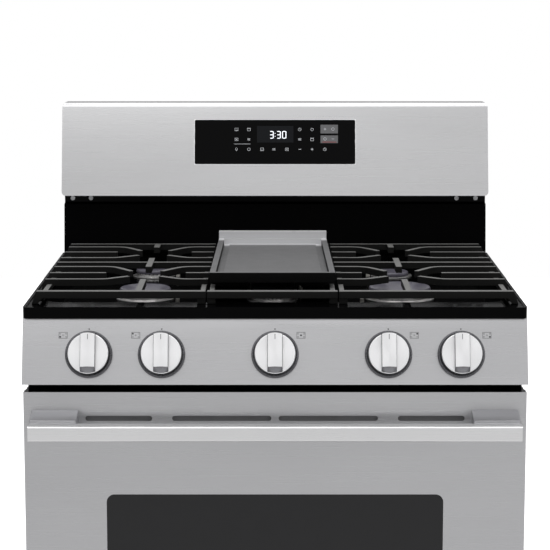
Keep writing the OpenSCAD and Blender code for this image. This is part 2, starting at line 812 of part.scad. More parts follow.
module gas_regulator() {
    color([0.64, 0.64, 0.62]) translate([inlet_x, 0, inlet_z]) rotate([-90, 0, 0]) {
        translate([0, 0, 290]) cylinder(h = 38, r = 26);
        translate([0, 0, 278]) cylinder(h = 12, r = 12);
        translate([0, 0, 328]) cylinder(h = rear_y[1] + 1 - 328, r = 14);
        // half-inch pipe nipple, the house supply screws onto it
        translate([0, 0, rear_y[1] + 1]) cylinder(h = 21, r = nipple_r);
    }
}

gland_x = -318;
gland_z = 140;
gland_r = 11;

module power_inlet() {
    color([0.08, 0.08, 0.08]) translate([gland_x, 0, gland_z]) rotate([-90, 0, 0]) difference() {
        union() {
            translate([0, 0, rear_y[0] - 8]) cylinder(h = 16, r = gland_r);
            translate([0, 0, rear_y[1]]) cylinder(h = 3, r = 16);
        }
        translate([0, 0, rear_y[0] - 10]) cylinder(h = 30, r = 5);
    }
}

// ---- backguard ----

top_d = 44;
low_d = 82;
panel_rise = height - panel_low;
lean = atan((low_d - top_d) / panel_rise);
round_r = 9;
riser_x = 377.5 / 379 * half_w;
strip_y = from_rear(40);
riser_screw_x = [-363, -330.6, 326, 360.2];
riser_screw_z = 1022;

module riser_area(inset) {
    polygon([[from_rear(65) + inset, 915.5], [from_rear(52) + inset, 1012 + inset], [strip_y + inset, 1014 + inset],
             [strip_y + inset, panel_low + 0.5], [rear_y[0] - gap, panel_low + 0.5], [rear_y[0] - gap, 915.5]]);
}

module vent_riser() {
    color([0.02, 0.02, 0.022]) difference() {
        along_x(2 * riser_x) riser_area(0);
        intersection() {
            along_x(2 * riser_x - 2 * sheet) riser_area(sheet);
            block([-half_w, 0, 900], [half_w, rear_y[0] - gap - 0.01, panel_low + 0.6]);
        }
        for (x = riser_screw_x)
            translate([x, strip_y - 1, riser_screw_z]) rotate([-90, 0, 0]) cylinder(h = 5, r = screw_r + 0.1);
    }
}

// Local frame on the backguard: Z is its outward normal, Y runs up the face from its lower edge
module on_backguard() {
    translate([0, from_rear(low_d), panel_low]) rotate([90 - lean, 0, 0]) children();
}

module backguard_area(inset) {
    r = round_r - inset;
    zc = height - round_r;
    c = [from_rear(low_d) + (zc - panel_low) * tan(lean) + round_r / cos(lean), zc];
    steps = 8;
    polygon(concat(
        [[from_rear(low_d) + inset / cos(lean), panel_low]],
        [for (i = [0 : steps]) let (a = 180 - lean - i * (90 - lean) / steps) c + r * [cos(a), sin(a)]],
        [[from_rear(2 - inset), zc + r], [from_rear(2 - inset), panel_low]]));
}

glass_up = 96.3;

module backguard_panel() {
    t = 2;
    color([0.78, 0.78, 0.79]) difference() {
        intersection() {
            along_x(width) backguard_area(0);
            along_y(0, depth) translate([0, panel_low + panel_rise / 2]) rounded_rect(width, panel_rise, 7);
        }
        intersection() {
            along_x(width - 2 * t) backguard_area(t);
            along_y(0, depth) translate([0, panel_low + panel_rise / 2 - t - 10])
                rounded_rect(width - 2 * t, panel_rise + 20, 7 - t);
        }
        on_backguard() translate([0, glass_up, -5]) linear_extrude(10)
            rounded_rect(glass_w + 2 * gap, glass_h + 2 * gap, 3 + gap);
    }
}

module backguard_housing() {
    x = half_w - 2.5;
    color([0.50, 0.51, 0.52]) difference() {
        union() {
            block([-x, from_rear(1.5), panel_low + 0.5], [x, from_rear(0), height - 3]);
            block([-x, from_rear(low_d - 4), panel_low + 0.5], [x, from_rear(0), panel_low + 0.5 + sheet]);
        }
        for (i = [-3 : 3], z = [1120, 1140])
            along_y(from_rear(3), from_rear(-1)) translate([i * 70, z]) slot_shape(50, 6);
    }
}

module control_glass() {
    color([0.015, 0.015, 0.02]) on_backguard() translate([0, glass_up, -2.4]) linear_extrude(3)
        rounded_rect(glass_w, glass_h, 3);
}

module control_board() {
    color([0.10, 0.32, 0.18]) on_backguard() {
        block([-125, glass_up - 30, -24], [125, glass_up + 30, -22.4]);
        block([-30, glass_up - 2, -22.4], [35, glass_up + 28, -8]);
        for (i = [0 : 3])
            translate([50 + 18 * i, glass_up - 12, -22.4]) cylinder(h = 9, r = 5);
    }
}

module screws() {
    color([0.55, 0.55, 0.56]) {
        for (x = riser_screw_x)
            translate([x, 0, riser_screw_z]) rotate([-90, 0, 0]) {
                translate([0, 0, strip_y - 2.2]) cylinder(h = 2.2, r = 4);
                translate([0, 0, strip_y - 1]) cylinder(h = 5, r = screw_r);
            }
        for (s = [-1, 1], z = rear_screw_z)
            translate([s * 345, 0, z]) rotate([-90, 0, 0]) {
                translate([0, 0, rear_y[1]]) cylinder(h = 2.2, r = 4);
                translate([0, 0, rear_y[0] - 4]) cylinder(h = 6, r = screw_r);
            }
    }
}

// ---- the pieces ----

side_panel(-1);  // side_panel_left
side_panel(1);  // side_panel_right
rear_panel();
base_frame();
leg(-leg_x, leg_y[0]);  // leg_front_left
leg(leg_x, leg_y[0]);  // leg_front_right
leg(-leg_x, leg_y[1]);  // leg_rear_left
leg(leg_x, leg_y[1]);  // leg_rear_right
front_frame();
oven_liner();
insulation();
oven_floor();
bake_burner();
broil_burner();
rack(shelf_z[0]);  // rack_lower
rack(shelf_z[2]);  // rack_upper
fan_cover();
fan_motor();
fan_blade();
oven_lamp();
temp_sensor();
door_gasket();
hinge_arms();
door_skin();
door_inner();
door_glass();
door_handle();
handle_mounts();
drawer_front();
drawer_box();
cooktop();
burner_heads();
burner_caps();
igniters();
grate_left();
grate_centre();
grate_right();
griddle();
control_panel();
knob_bezels();
gas_manifold();
gas_valves();
gas_regulator();
valve_stem(0);  // valve_stem_1
valve_stem(1);  // valve_stem_2
valve_stem(2);  // valve_stem_3
valve_stem(3);  // valve_stem_4
valve_stem(4);  // valve_stem_5
knob(0);  // knob_1
knob(1);  // knob_2
knob(2);  // knob_3
knob(3);  // knob_4
knob(4);  // knob_5
vent_riser();
backguard_panel();
backguard_housing();
control_glass();
control_board();
power_inlet();
screws();
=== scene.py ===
"""Looks of the freestanding gas range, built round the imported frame. Metres; the front faces -Y."""
import json
import math

import bmesh
import bpy
from mathutils import Matrix, Vector


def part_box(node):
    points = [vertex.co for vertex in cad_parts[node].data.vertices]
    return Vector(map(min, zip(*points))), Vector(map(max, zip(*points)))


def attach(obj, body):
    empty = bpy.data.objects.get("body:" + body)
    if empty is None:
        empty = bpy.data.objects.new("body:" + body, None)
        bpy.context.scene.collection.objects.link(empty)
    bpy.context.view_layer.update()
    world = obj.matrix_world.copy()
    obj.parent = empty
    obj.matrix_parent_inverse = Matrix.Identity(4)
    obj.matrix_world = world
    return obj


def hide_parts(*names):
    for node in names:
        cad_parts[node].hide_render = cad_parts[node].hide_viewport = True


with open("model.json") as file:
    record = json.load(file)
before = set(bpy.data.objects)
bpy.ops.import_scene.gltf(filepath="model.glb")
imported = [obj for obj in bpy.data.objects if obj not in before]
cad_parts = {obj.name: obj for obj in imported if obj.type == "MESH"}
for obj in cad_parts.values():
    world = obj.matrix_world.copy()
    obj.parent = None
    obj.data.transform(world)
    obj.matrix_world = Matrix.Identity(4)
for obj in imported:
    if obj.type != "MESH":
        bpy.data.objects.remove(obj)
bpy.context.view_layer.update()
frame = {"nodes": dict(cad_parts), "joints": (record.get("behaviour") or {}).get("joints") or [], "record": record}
joints = {j["name"]: j for j in frame["joints"]}
nodes = frame["nodes"]

MM = 0.001
TAU = 2 * math.pi
KNOBS = range(1, 6)


# ---- camera, floor and light ----

# Fitted to the photograph: eye point, tilt below the horizon and focal length
EYE = Vector((0.0, -3.26, 1.4287))
LOOK_DOWN = math.radians(8.668)
LENS = 131.4
SENSOR_WIDTH = 36.0
FLOOR_HALF = 6.0
FLOOR_COLOUR = (0.70, 0.70, 0.70)
FLOOR_GLOW = 0.95
# Height of the reflected direction, from straight down to straight up, and its brightness
ROOM_STOPS = [(0.0, 0.75), (0.46, 0.70), (0.52, 0.10), (0.57, 0.16), (0.64, 0.58), (0.74, 0.74), (1.0, 0.85)]


def add_camera():
    bpy.context.scene.view_settings.view_transform = "Standard"
    camera = bpy.data.objects.new("camera", bpy.data.cameras.new("camera"))
    camera.data.lens = LENS
    camera.data.sensor_width = SENSOR_WIDTH
    camera.data.clip_end = 50.0
    camera.location = EYE
    camera.rotation_euler = (math.pi / 2 - LOOK_DOWN, 0, 0)
    bpy.context.scene.collection.objects.link(camera)
    bpy.context.scene.camera = camera


def add_area_light(name, place, target, size, power):
    data = bpy.data.lights.new(name, "AREA")
    data.shape = "RECTANGLE"
    data.size, data.size_y = size
    data.energy = power
    light = bpy.data.objects.new(name, data)
    light.location = place
    light.rotation_euler = (Vector(target) - Vector(place)).to_track_quat("-Z", "Y").to_euler()
    bpy.context.scene.collection.objects.link(light)


def add_world():
    """White to the eye; in reflections a room that is dark at the horizon and pale above and below."""
    world = bpy.data.worlds.new("studio")
    bpy.context.scene.world = world
    world.use_nodes = True
    tree = world.node_tree
    tree.nodes.clear()
    coord = tree.nodes.new("ShaderNodeTexCoord")
    split = tree.nodes.new("ShaderNodeSeparateXYZ")
    tree.links.new(coord.outputs["Generated"], split.inputs[0])
    ramp = tree.nodes.new("ShaderNodeValToRGB")
    ramp.color_ramp.interpolation = "EASE"
    elements = ramp.color_ramp.elements
    while len(elements) < len(ROOM_STOPS):
        elements.new(0.5)
    for element, (place, level) in zip(elements, ROOM_STOPS):
        element.position = place
        element.color = (level, level, level * 1.01, 1)
    half = tree.nodes.new("ShaderNodeMath")
    half.operation = "MULTIPLY_ADD"
    half.inputs[1].default_value = 0.5
    half.inputs[2].default_value = 0.5
    tree.links.new(split.outputs["Z"], half.inputs[0])
    tree.links.new(half.outputs[0], ramp.inputs[0])
    room = tree.nodes.new("ShaderNodeBackground")
    room.inputs["Strength"].default_value = 1.0
    tree.links.new(ramp.outputs[0], room.inputs["Color"])
    seen = tree.nodes.new("ShaderNodeBackground")
    seen.inputs["Color"].default_value = (1, 1, 1, 1)
    seen.inputs["Strength"].default_value = 1.0
    path = tree.nodes.new("ShaderNodeLightPath")
    mix = tree.nodes.new("ShaderNodeMixShader")
    tree.links.new(path.outputs["Is Camera Ray"], mix.inputs[0])
    tree.links.new(room.outputs[0], mix.inputs[1])
    tree.links.new(seen.outputs[0], mix.inputs[2])
    out = tree.nodes.new("ShaderNodeOutputWorld")
    tree.links.new(mix.outputs[0], out.inputs[0])


def add_floor():
    mesh = bpy.data.meshes.new("floor")
    r = FLOOR_HALF
    mesh.from_pydata([(-r, -r, 0), (r, -r, 0), (r, r, 0), (-r, r, 0)], [], [(0, 1, 2, 3)])
    floor = bpy.data.objects.new("floor", mesh)
    bpy.context.scene.collection.objects.link(floor)
    paint = painted("floor_paint", FLOOR_COLOUR, 0.6, grain=60, bump=0.02)
    socket(paint, "Emission Color").default_value = (1, 1, 1, 1)
    white_to_eye(paint, FLOOR_GLOW)
    floor.data.materials.append(paint)


# ---- shader helpers ----

# The part of a noise texture's range that is used
NOISE_LOW, NOISE_HIGH = 0.3, 0.7


def new_material(name, colour, roughness, metallic=0.0, specular=0.5):
    material = bpy.data.materials.new(name)
    material.use_nodes = True
    bsdf = material.node_tree.nodes["Principled BSDF"]
    bsdf.inputs["Base Color"].default_value = (*colour, 1)
    bsdf.inputs["Roughness"].default_value = roughness
    bsdf.inputs["Metallic"].default_value = metallic
    bsdf.inputs["Specular IOR Level"].default_value = specular
    return material


def socket(material, name):
    return material.node_tree.nodes["Principled BSDF"].inputs[name]


def noise(material, scale, detail=4.0, rough=0.5):
    """Noise over the object's own coordinates. scale is features per metre along X, Y and Z."""
    tree = material.node_tree
    coord = tree.nodes.new("ShaderNodeTexCoord")
    mapping = tree.nodes.new("ShaderNodeMapping")
    mapping.inputs["Scale"].default_value = scale
    texture = tree.nodes.new("ShaderNodeTexNoise")
    texture.inputs["Scale"].default_value = 1.0
    texture.inputs["Detail"].default_value = detail
    texture.inputs["Roughness"].default_value = rough
    tree.links.new(coord.outputs["Object"], mapping.inputs["Vector"])
    tree.links.new(mapping.outputs["Vector"], texture.inputs["Vector"])
    return texture.outputs["Fac"]


def drive_value(material, fac, name, low, high):
    """Lets a texture move one of the shader's values between low and high."""
    tree = material.node_tree
    ranged = tree.nodes.new("ShaderNodeMapRange")
    ranged.inputs["From Min"].default_value = NOISE_LOW
    ranged.inputs["From Max"].default_value = NOISE_HIGH
    ranged.inputs["To Min"].default_value = low
    ranged.inputs["To Max"].default_value = high
    tree.links.new(fac, ranged.inputs["Value"])
    tree.links.new(ranged.outputs["Result"], socket(material, name))


def drive_colour(material, fac, dark, light, fac_low=NOISE_LOW, fac_high=NOISE_HIGH):
    """Lets a texture move the base colour between dark and light."""
    tree = material.node_tree
    ramp = tree.nodes.new("ShaderNodeValToRGB")
    ramp.color_ramp.elements[0].position = fac_low
    ramp.color_ramp.elements[0].color = (*dark, 1)
    ramp.color_ramp.elements[1].position = fac_high
    ramp.color_ramp.elements[1].color = (*light, 1)
    tree.links.new(fac, ramp.inputs[0])
    tree.links.new(ramp.outputs[0], socket(material, "Base Color"))


def add_bump(material, fac, strength, distance):
    """Adds a bump on top of any bump that the material already has."""
    tree = material.node_tree
    bump = tree.nodes.new("ShaderNodeBump")
    bump.inputs["Strength"].default_value = strength
    bump.inputs["Distance"].default_value = distance
    normal = socket(material, "Normal")
    if normal.is_linked:
        tree.links.new(normal.links[0].from_socket, bump.inputs["Normal"])
    tree.links.new(fac, bump.inputs["Height"])
    tree.links.new(bump.outputs["Normal"], normal)


def shade(colour, k):
    return tuple(min(1.0, c * k) for c in colour)


# ---- materials ----

def brushed_steel(name, colour, roughness, grain=(4, 1400, 1400)):
    """Stainless sheet: fine scratches along the first axis, and slow cloudiness."""
    m = new_material(name, colour, roughness, metallic=1.0)
    streaks = noise(m, grain, detail=6, rough=0.65)
    drive_value(m, streaks, "Roughness", roughness - 0.05, roughness + 0.07)
    clouds = noise(m, (3, 9, 9), detail=3)
    drive_colour(m, clouds, shade(colour, 0.965), shade(colour, 1.02))
    add_bump(m, streaks, 0.10, 0.00015)
    socket(m, "Anisotropic").default_value = 0.35
    return m


def enamel(name, colour, roughness=0.10, specular=0.35):
    """Porcelain enamel: glossy, with a slight ripple and faint wipe marks."""
    m = new_material(name, colour, roughness, specular=specular)
    smears = noise(m, (14, 14, 14), detail=5)
    drive_value(m, smears, "Roughness", roughness * 0.8, roughness * 1.7)
    specks = noise(m, (2600, 2600, 2600), detail=2)
    drive_colour(m, specks, colour, shade(colour, 1.8), 0.55, 0.75)
    add_bump(m, noise(m, (130, 130, 130), detail=2), 0.05, 0.0004)
    return m


def upward(material):
    """1 on faces that look up, 0 on the walls; the mask that paints light on the tops and shade on the walls."""
    tree = material.node_tree
    coord = tree.nodes.new("ShaderNodeTexCoord")
    split = tree.nodes.new("ShaderNodeSeparateXYZ")
    tree.links.new(coord.outputs["Normal"], split.inputs[0])
    ranged = tree.nodes.new("ShaderNodeMapRange")
    ranged.inputs["From Min"].default_value = 0.35
    ranged.inputs["From Max"].default_value = 0.9
    tree.links.new(split.outputs["Z"], ranged.inputs["Value"])
    return ranged.outputs["Result"]


def behind(material, y):
    """1 beyond y, 0 in front of it, with a 20 mm blend; the mask for the griddle's painted reflection."""
    soft = 0.01
    tree = material.node_tree
    coord = tree.nodes.new("ShaderNodeTexCoord")
    split = tree.nodes.new("ShaderNodeSeparateXYZ")
    tree.links.new(coord.outputs["Object"], split.inputs[0])
    ranged = tree.nodes.new("ShaderNodeMapRange")
    ranged.inputs["From Min"].default_value = y - soft
    ranged.inputs["From Max"].default_value = y + soft
    tree.links.new(split.outputs["Y"], ranged.inputs["Value"])
    return ranged.outputs["Result"]


def mix_colours(material, fac, under, over):
    """Linked colour: under where fac is 0, over where it is 1. under and over are colours or sockets."""
    tree = material.node_tree
    mix = tree.nodes.new("ShaderNodeMix")
    mix.data_type = "RGBA"
    tree.links.new(fac, mix.inputs["Factor"])
    for name, value in (("A", under), ("B", over)):
        target = [i for i in mix.inputs if i.name == name and i.type == "RGBA"][0]
        if isinstance(value, tuple):
            target.default_value = (*value, 1)
        else:
            tree.links.new(value, target)
    return [o for o in mix.outputs if o.type == "RGBA"][0]


def cast_iron(name, wall, top, roughness=0.5, painted_reflection_behind=None):
    """Sand-cast iron: a fine grain, walls painted dark as shade and tops painted lighter as the light that falls
    on them, with patchy tone, and where asked paler beyond a given depth as a painted reflection.
    """
    m = new_material(name, top, roughness, specular=0.12)
    grain = noise(m, (1500, 1500, 1500), detail=6, rough=0.7)
    patches = noise(m, (45, 45, 45), detail=4)
    painted_lit_top = mix_colours(m, patches, shade(top, 0.85), shade(top, 1.15))
    # Painted light and shade: the walls take the dark colour, the tops the lighter one
    colour = mix_colours(m, upward(m), wall, painted_lit_top)
    # Painted reflection: paler beyond the given depth
    if painted_reflection_behind is not None:
        y, pale = painted_reflection_behind
        colour = mix_colours(m, behind(m, y), colour, pale)
    m.node_tree.links.new(colour, socket(m, "Base Color"))
    drive_value(m, grain, "Roughness", roughness - 0.08, roughness + 0.15)
    add_bump(m, grain, 0.25, 0.0003)
    add_bump(m, patches, 0.08, 0.001)
    return m


def painted(name, colour, roughness=0.4, grain=900, bump=0.15):
    """Baked paint or moulded plastic with a fine texture."""
    m = new_material(name, colour, roughness, specular=0.4)
    texture = noise(m, (grain, grain, grain), detail=4)
    drive_value(m, texture, "Roughness", roughness * 0.85, roughness * 1.15)
    drive_colour(m, noise(m, (20, 20, 20), detail=3), shade(colour, 0.92), shade(colour, 1.06))
    add_bump(m, texture, bump, 0.0003)
    return m


def bare_metal(name, colour, roughness, grain=(500, 500, 500), bump=0.12):
    """Cast, turned or plated metal."""
    m = new_material(name, colour, roughness, metallic=1.0)
    texture = noise(m, grain, detail=5)
    drive_value(m, texture, "Roughness", roughness * 0.75, roughness * 1.3)
    drive_colour(m, noise(m, (60, 60, 60), detail=4), shade(colour, 0.88), shade(colour, 1.05))
    add_bump(m, texture, bump, 0.0003)
    return m


def dark_glass(name, colour, roughness=0.04, specular=0.5):
    """Black or tinted glass with faint wipe marks."""
    m = new_material(name, colour, roughness, specular=specular)
    drive_value(m, noise(m, (25, 25, 25), detail=4), "Roughness", roughness, roughness * 2)
    return m


def fibre(name, dark, light, scale):
    """Matted or woven glass fibre."""
    m = new_material(name, light, 0.9, specular=0.2)
    strands = noise(m, scale, detail=8, rough=0.75)
    drive_colour(m, strands, dark, light)
    add_bump(m, strands, 0.8, 0.002)
    return m


def white_to_eye(material, strength):
    """The floor looks white, and still reflects in the range as a mid grey."""
    tree = material.node_tree
    path = tree.nodes.new("ShaderNodeLightPath")
    scaled = tree.nodes.new("ShaderNodeMath")
    scaled.operation = "MULTIPLY"
    scaled.inputs[1].default_value = strength
    tree.links.new(path.outputs["Is Camera Ray"], scaled.inputs[0])
    tree.links.new(scaled.outputs[0], socket(material, "Emission Strength"))


def glow(material, colour, strength):
    socket(material, "Emission Color").default_value = (*colour, 1)
    socket(material, "Emission Strength").default_value = strength


def glowing(name, colour, strength):
    """Lit print and digits."""
    m = new_material(name, colour, 0.4)
    tone = noise(m, (900, 900, 900), detail=1)
    drive_colour(m, tone, shade(colour, 0.95), colour)
    glow(m, colour, strength)
    return m


def satin_white(name, colour, painted_glow):
    """Bead-blasted bright metal with a faint painted glow, an emission that keeps it near white."""
    m = brushed_steel(name, colour, 0.36, grain=(900, 60, 60))
    glow(m, colour, painted_glow)
    return m


def make_materials():
    steel = (0.66, 0.66, 0.67)
    return {
        "panel_steel": brushed_steel("panel_steel", steel, 0.30),
        "backguard_steel": brushed_steel("backguard_steel", (0.74, 0.74, 0.745), 0.30),
        "handle_steel": brushed_steel("handle_steel", (0.98, 0.98, 0.98), 0.30),
        "mount_steel": brushed_steel("mount_steel", (0.46, 0.46, 0.475), 0.34),
        "bare_steel": bare_metal("bare_steel", (0.60, 0.61, 0.62), 0.38),
        "galvanised": bare_metal("galvanised", (0.55, 0.56, 0.57), 0.45, grain=(70, 70, 70)),
        "casing_paint": painted("casing_paint", (0.055, 0.056, 0.060), 0.42),
        "base_paint": painted("base_paint", (0.014, 0.014, 0.015), 0.45),
        "black_enamel": enamel("black_enamel", (0.0012, 0.0012, 0.0013), 0.09, specular=0.05),
        "oven_enamel": enamel("oven_enamel", (0.012, 0.014, 0.024), 0.22),
        # Cast iron grates: walls near black as painted shade, tops lighter as painted light
        "cast_iron": cast_iron("cast_iron", (0.010, 0.010, 0.0095), (0.18, 0.18, 0.175)),
        # Griddle: walls black as painted shade, tops lighter as painted light, and the rear wall beyond 0.21 m
        # pale as a painted reflection of the plate
        "griddle_iron": cast_iron("griddle_iron", (0.002, 0.002, 0.002), (0.150, 0.150, 0.152), 0.45,
                                  painted_reflection_behind=(0.21, (0.62, 0.62, 0.63))),
        "burner_alloy": bare_metal("burner_alloy", (0.72, 0.71, 0.70), 0.32),
        "cap_enamel": painted("cap_enamel", (0.105, 0.100, 0.125), 0.32, grain=400, bump=0.08),
        "ceramic": painted("ceramic", (0.80, 0.78, 0.72), 0.25, grain=300, bump=0.05),
        "insulation": fibre("insulation", (0.50, 0.42, 0.22), (0.80, 0.72, 0.45), (120, 120, 400)),
        "gasket": fibre("gasket", (0.07, 0.07, 0.068), (0.16, 0.16, 0.155), (700, 700, 700)),
        "black_glass": dark_glass("black_glass", (0.002, 0.002, 0.0022), specular=0.08),
        "door_glass": dark_glass("door_glass", (0.006, 0.006, 0.007), specular=0.5),
        "lamp_glass": painted("lamp_glass", (0.80, 0.78, 0.70), 0.18, grain=300, bump=0.03),
        "knob_satin": brushed_steel("knob_satin", (0.98, 0.98, 0.985), 0.34, grain=(1400, 60, 60)),
        # Knob face: a faint emission painted in as light keeps it near white
        "knob_face": satin_white("knob_face", (0.97, 0.97, 0.975), 0.07),
        "skirt_chrome": bare_metal("skirt_chrome", (0.20, 0.20, 0.21), 0.22, bump=0.03),
        # Bezel: a real ring, coloured dark as painted shade for the shadowed band round each knob
        "bezel_dark": bare_metal("bezel_dark", (0.17, 0.17, 0.18), 0.28, bump=0.04),
        "brass": bare_metal("brass", (0.70, 0.52, 0.25), 0.28),
        "pipe": bare_metal("pipe", (0.60, 0.60, 0.57), 0.40),
        "motor": bare_metal("motor", (0.35, 0.36, 0.37), 0.42),
        "wire": bare_metal("wire", (0.80, 0.81, 0.82), 0.16, bump=0.04),
        "board": painted("board", (0.012, 0.09, 0.035), 0.35, grain=700),
        "black_plastic": painted("black_plastic", (0.012, 0.012, 0.012), 0.5),
        "fan_alloy": bare_metal("fan_alloy", (0.65, 0.66, 0.67), 0.30),
        "foot_plastic": painted("foot_plastic", (0.014, 0.014, 0.015), 0.5),
        "print_dark": painted("print_dark", (0.012, 0.012, 0.013), 0.5, bump=0.03),
        "print_light": glowing("print_light", (0.62, 0.64, 0.66), 0.25),
        "digit_light": glowing("digit_light", (0.85, 0.88, 0.92), 0.9),
        "display_tint": dark_glass("display_tint", (0.012, 0.013, 0.015), 0.08, specular=0.1),
        "key_grey": painted("key_grey", (0.17, 0.17, 0.175), 0.35, bump=0.05),
        "accent_red": painted("accent_red", (0.30, 0.015, 0.012), 0.4, bump=0.03),
        "slit_light": painted("slit_light", (0.22, 0.22, 0.225), 0.35, bump=0.05),
    }


add_camera()
add_world()
add_floor()
add_area_light("key", (-0.6, -2.4, 3.6), (0, -0.1, 0.9), (2.6, 1.8), 17)
add_area_light("top", (0.3, 0.3, 3.4), (0, 0, 0.9), (2.4, 1.6), 15)
add_area_light("fill", (2.6, -3.2, 1.9), (0, 0, 0.8), (1.6, 2.2), 9)
looks = make_materials()


# ---- dressing the CAD nodes ----

# Rounding of each node's sharp edges, in millimetres; 0 keeps the mesh as it is
BEVELS = {
    "cooktop": 1.6, "control_panel": 1.2, "door_skin": 1.2, "drawer_front": 1.2, "backguard_panel": 0,
    "door_handle": 1.4, "handle_mounts": 2.0, "grate_left": 1.5, "grate_right": 1.5, "grate_centre": 1.5,
    "griddle": 1.2, "side_panel_left": 0, "side_panel_right": 0, "rear_panel": 0, "vent_riser": 0.6,
    "burner_caps": 0.8, "knob_bezels": 0.5,
}
DEFAULT_BEVEL = 0.4
# Nodes that look different from the rest of their slot
OWN_LOOK = {"handle_mounts": "mount_steel"}
# Sheet pieces whose flat faces are joined before their edges are rounded
MERGED = ("control_panel", "door_skin")


def soften(obj, width, merge_flat=False):
    """Rounds the sharp edges; flat faces shade flat and round ones smooth."""
    stored = obj.data.attributes.get("custom_normal")
    if stored:
        obj.data.attributes.remove(stored)
    obj.data.polygons.foreach_set("use_smooth", [True] * len(obj.data.polygons))
    if not width:
        return
    weld = obj.modifiers.new("weld", "WELD")
    weld.merge_threshold = 0.01 * MM
    if merge_flat:
        planar = obj.modifiers.new("planar", "DECIMATE")
        planar.decimate_type = "DISSOLVE"
        planar.angle_limit = math.radians(0.5)
    bevel = obj.modifiers.new("bevel", "BEVEL")
    bevel.width = width * MM
    bevel.segments = 2
    bevel.limit_method = "ANGLE"
    bevel.angle_limit = math.radians(32)
    split = obj.modifiers.new("flat_faces", "EDGE_SPLIT")
    split.split_angle = math.radians(20)
    weighted = obj.modifiers.new("normals", "WEIGHTED_NORMAL")
    weighted.weight = 100


def dress_cad_nodes():
    slots = {s["node"]: s["material_slot"] for s in frame["record"]["subparts"]}
    for name, node in nodes.items():
        node.data.materials.clear()
        node.data.materials.append(looks[OWN_LOOK.get(name, slots[name])])
        for polygon in node.data.polygons:
            polygon.material_index = 0
        soften(node, BEVELS.get(name, DEFAULT_BEVEL), name in MERGED)


# ---- building new pieces ----


def wall(bm, low, high):
    """Faces between two rings with the same number of points."""
    for i in range(len(low)):
        j = (i + 1) % len(low)
        bm.faces.new((low[i], low[j], high[j], high[i]))


def piece(name, place, rings, materials, body, top=0, bored=False):
    """A lofted solid from rings of points, in millimetres in the frame called place.

    A bored piece has no end faces: its last ring is joined to its first one."""
    bm = bmesh.new()
    loops = [[bm.verts.new(Vector(v) * MM) for v in ring] for ring in rings]
    for low, high in zip(loops, loops[1:] + loops[:1] if bored else loops[1:]):
        wall(bm, low, high)
    if not bored:
        bm.faces.new(loops[0][::-1])
        bm.faces.new(loops[-1]).material_index = top
    return finish_piece(name, place, bm, materials, body)


def finish_piece(name, place, bm, materials, body, bevel=0.3):
    """Makes the object, rounds its edges, and gives it its body and the slot of its first material."""
    mesh = bpy.data.meshes.new(name)
    bmesh.ops.recalc_face_normals(bm, faces=bm.faces)
    bm.to_mesh(mesh)
    bm.free()
    for m in materials:
        mesh.materials.append(looks[m])
    obj = bpy.data.objects.new(name, mesh)
    obj.matrix_world = place
    bpy.context.scene.collection.objects.link(obj)
    if bevel:
        soften(obj, bevel)
    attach(obj, body)
    return obj


def flat_marks(name, place, outlines, material, body, low=0.02, high=0.12):
    """Thin raised shapes on a face: one piece from many convex outlines."""
    bm = bmesh.new()
    for outline in outlines:
        rings = [[bm.verts.new(Vector((u, v, z)) * MM) for u, v in outline] for z in (low, high)]
        wall(bm, *rings)
        bm.faces.new(rings[0][::-1])
        bm.faces.new(rings[1])
    return finish_piece(name, place, bm, [material], body, bevel=0)


def facing(origin, normal):
    """A frame at origin: X to the right, Z along normal, Y up the face."""
    z = Vector(normal).normalized()
    x = Vector((1, 0, 0))
    y = z.cross(x)
    frame_axes = Matrix((x, y, z)).transposed().to_4x4()
    return Matrix.Translation(origin) @ frame_axes


def rect(u0, v0, u1, v1):
    return [(u0, v0), (u1, v0), (u1, v1), (u0, v1)]


def disc(u, v, r, count=20):
    return [(u + r * math.cos(TAU * i / count), v + r * math.sin(TAU * i / count)) for i in range(count)]


def stroke(points, w):
    """Rectangles along a line of points."""
    out = []
    for (u0, v0), (u1, v1) in zip(points, points[1:]):
        du, dv = u1 - u0, v1 - v0
        k = w / 2 / math.hypot(du, dv)
        a, b = -dv * k, du * k
        out.append([(u0 - a, v0 - b), (u1 - a, v1 - b), (u1 + a, v1 + b), (u0 + a, v0 + b)][::-1])
    return out


def ring_line(u, v, r, w, count=20):
    points = [(u + r * math.sin(TAU * i / count), v + r * math.cos(TAU * i / count))
              for i in range(count + 1)]
    return stroke(points, w)


def box_line(u0, v0, u1, v1, w):
    return [rect(u0, v0, u1, v0 + w), rect(u0, v1 - w, u1, v1),
            rect(u0, v0 + w, u0 + w, v1 - w), rect(u1 - w, v0 + w, u1, v1 - w)]


def islands(node):
    """Lowest and highest corner of each separate solid of a CAD node."""
    bm = bmesh.new()
    bm.from_mesh(node.data)
    bmesh.ops.remove_doubles(bm, verts=bm.verts, dist=0.01 * MM)
    left, found = set(bm.verts), []
    while left:
        todo, group = [left.pop()], []
        while todo:
            vert = todo.pop()
            group.append(vert.co.copy())
            for edge in vert.link_edges:
                other = edge.other_vert(vert)
                if other in left:
                    left.remove(other)
                    todo.append(other)
        found.append((Vector(map(min, zip(*group))), Vector(map(max, zip(*group)))))
    bm.free()
    return found


# ---- knobs ----

# Radii, the grip bar's half width, and heights above the control panel, in millimetres
KNOB_R = 31.2
FACE_R = 30.4
BORE_R = 4.6
GRIP_HALF = 11.6
KNOB_BACK, SKIRT_TOP, FACE_Z, GRIP_TOP = 5.0, 15.4, 17.0, 26.0


def knob_place(n):
    turn = joints[f"knob_{n}_turn"]
    return facing(turn["pos_m"], turn["axis"])


def circle(r, z, count=96):
    return [(r * math.cos(TAU * i / count), r * math.sin(TAU * i / count), z) for i in range(count)]


